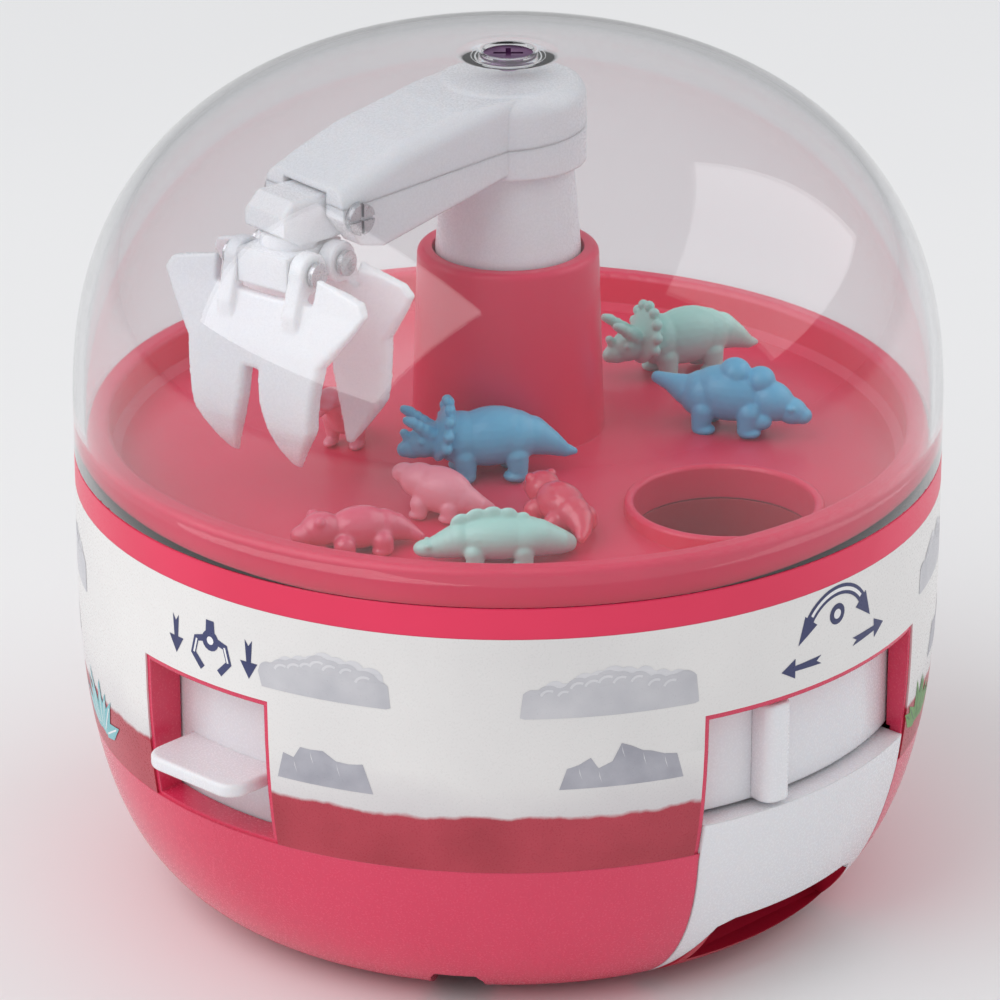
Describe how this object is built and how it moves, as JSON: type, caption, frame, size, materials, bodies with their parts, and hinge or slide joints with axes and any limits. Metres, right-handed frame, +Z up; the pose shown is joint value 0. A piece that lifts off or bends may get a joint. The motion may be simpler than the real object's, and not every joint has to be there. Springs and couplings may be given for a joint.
{
  "type": "toy claw crane machine",
  "caption": "Palm-sized toy claw crane: round bowl with a grab paddle, an arm slider and a prize outlet, a tower with a turning arm and two-jaw claw under a clear dome.",
  "frame": {"origin": "middle of the flat foot, on the surface the toy stands on", "axes": "+Z up along the tower; -Y towards the user, between the grab paddle on the left and the slider on the right; +X to the user's right"},
  "size_m": [0.12, 0.12, 0.12],
  "materials": {
    "body_pink": "gloss",
    "deep_red": "satin",
    "label_print": "gloss",
    "white_plastic": "gloss",
    "claw_white": "gloss",
    "clear_dome": "polished",
    "gear_white": "satin",
    "screw_steel": "brushed",
    "dark_screw": "satin",
    "spring_steel": "polished",
    "prize_blue": "satin",
    "prize_mint": "satin",
    "prize_pink": "gloss",
    "prize_red": "gloss"
  },
  "bodies": {
    "base": {"base_shell": "body_pink", "label_wrap": "label_print", "outlet_panel": "white_plastic", "prize_ramp": "deep_red", "chute_tube": "deep_red", "bottom_plate": "body_pink", "prize_tray": "body_pink", "gear_deck": "gear_white", "idler_screws": "screw_steel", "guide_rod": "gear_white", "return_spring": "spring_steel", "case_screws": "screw_steel", "tray_screws": "screw_steel", "prize_horned_blue": "prize_blue", "prize_horned_mint": "prize_mint", "prize_crested_blue": "prize_blue", "prize_plated_mint": "prize_mint", "prize_small_pink": "prize_pink", "prize_long_pink": "prize_pink", "prize_tall_pink": "prize_pink", "prize_clear_red": "prize_red"},
    "dome": {"dome": "clear_dome", "apex_screw": "dark_screw"},
    "grab_lever": {"grab_lever": "white_plastic"},
    "mobile_slider": {"slider_ring": "white_plastic", "slider_knob": "white_plastic"},
    "outer_idler": {"outer_idler": "gear_white"},
    "inner_idler": {"inner_idler": "gear_white"},
    "turret": {"turret_gear": "gear_white", "turret_clip": "spring_steel"},
    "crane": {"lift_stem": "gear_white", "lift_collar": "gear_white", "column": "claw_white", "arm_beam": "claw_white", "arm_cover": "claw_white", "wrist_screw": "screw_steel", "claw_hub": "claw_white", "claw_pins": "screw_steel"},
    "outer_jaw": {"outer_jaw": "claw_white"},
    "inner_jaw": {"inner_jaw": "claw_white"}
  },
  "joints": [
    {"name": "dome_lift", "type": "slide", "parent": "base", "child": "dome", "axis": [0, 0, 1], "range_m": [0, 0.045]},
    {"name": "grab_press", "type": "slide", "parent": "base", "child": "grab_lever", "axis": [0, 0, -1], "range_m": [0, 0.006], "stiffness_N_per_m": 120, "springref_m": -0.004},
    {"name": "mobile_turn", "type": "hinge", "parent": "base", "child": "mobile_slider", "pos_m": [0, 0, 0], "axis": [0, 0, 1], "range_deg": [-6.5, 23.4]},
    {"name": "outer_idler_turn", "type": "hinge", "parent": "base", "child": "outer_idler", "pos_m": [0, 0.039, 0], "axis": [0, 0, 1], "range_deg": [-35, 125]},
    {"name": "inner_idler_turn", "type": "hinge", "parent": "base", "child": "inner_idler", "pos_m": [0, 0.021, 0], "axis": [0, 0, 1], "range_deg": [-125, 35]},
    {"name": "turret_turn", "type": "hinge", "parent": "base", "child": "turret", "pos_m": [0, 0, 0], "axis": [0, 0, 1], "range_deg": [-26.1, 93.8]},
    {"name": "crane_lower", "type": "slide", "parent": "turret", "child": "crane", "axis": [0, 0, -1], "range_m": [0, 0.0061], "deforming": ["return_spring"]},
    {"name": "outer_jaw_close", "type": "hinge", "parent": "crane", "child": "outer_jaw", "pos_m": [-0.03048, -0.02733, 0.099], "axis": [0.7986, -0.6018, 0], "range_deg": [0, 10.6]},
    {"name": "inner_jaw_close", "type": "hinge", "parent": "crane", "child": "inner_jaw", "pos_m": [-0.02687, -0.02253, 0.099], "axis": [-0.7986, 0.6018, 0], "range_deg": [0, 10.6]}
  ],
  "couplings": [
    {"joint": "outer_idler_turn", "follows": "mobile_turn", "ratio": 5.3333},
    {"joint": "inner_idler_turn", "follows": "mobile_turn", "ratio": -5.3333},
    {"joint": "turret_turn", "follows": "mobile_turn", "ratio": 4},
    {"joint": "crane_lower", "follows": "grab_press", "ratio": 1},
    {"joint": "outer_jaw_close", "follows": "grab_press", "rad_per_m": 30.252},
    {"joint": "inner_jaw_close", "follows": "grab_press", "rad_per_m": 30.252}
  ]
}
